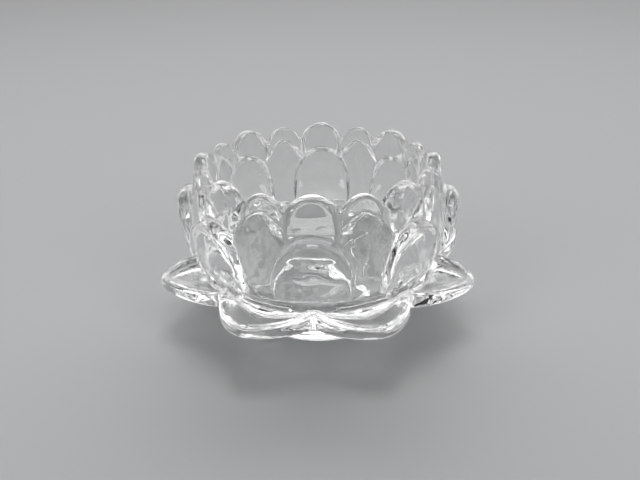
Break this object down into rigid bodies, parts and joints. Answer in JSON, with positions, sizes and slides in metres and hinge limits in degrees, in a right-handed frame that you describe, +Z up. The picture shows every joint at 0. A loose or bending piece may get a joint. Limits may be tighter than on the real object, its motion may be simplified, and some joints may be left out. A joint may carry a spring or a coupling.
{
  "type": "floating candle bowl",
  "caption": "Round lotus-shaped bowl of clear pressed glass, with tiers of overlapping petals and a scalloped rim, that holds a candle.",
  "frame": {"origin": "middle of the foot's underside, on the surface that the bowl stands on", "axes": "+Z up through the bowl's axis; -Y is the front, where one standing petal faces; +X is to the right seen from the front"},
  "size_m": [0.1396, 0.1396, 0.077],
  "materials": {
    "clear_glass": "clear, fire-polished pressed glass"
  },
  "bodies": {
    "root": {"candle_cup": "clear_glass", "foot_dish": "clear_glass", "middle_petal_1": "clear_glass", "middle_petal_2": "clear_glass", "middle_petal_3": "clear_glass", "middle_petal_4": "clear_glass", "middle_petal_5": "clear_glass", "middle_petal_6": "clear_glass", "middle_petal_7": "clear_glass", "middle_petal_8": "clear_glass", "standing_petal_1": "clear_glass", "standing_petal_2": "clear_glass", "standing_petal_3": "clear_glass", "standing_petal_4": "clear_glass", "standing_petal_5": "clear_glass", "standing_petal_6": "clear_glass", "standing_petal_7": "clear_glass", "standing_petal_8": "clear_glass", "splayed_petal_1": "clear_glass", "splayed_petal_2": "clear_glass", "splayed_petal_3": "clear_glass", "splayed_petal_4": "clear_glass", "splayed_petal_5": "clear_glass", "splayed_petal_6": "clear_glass", "splayed_petal_7": "clear_glass", "splayed_petal_8": "clear_glass"}
  },
  "joints": []
}
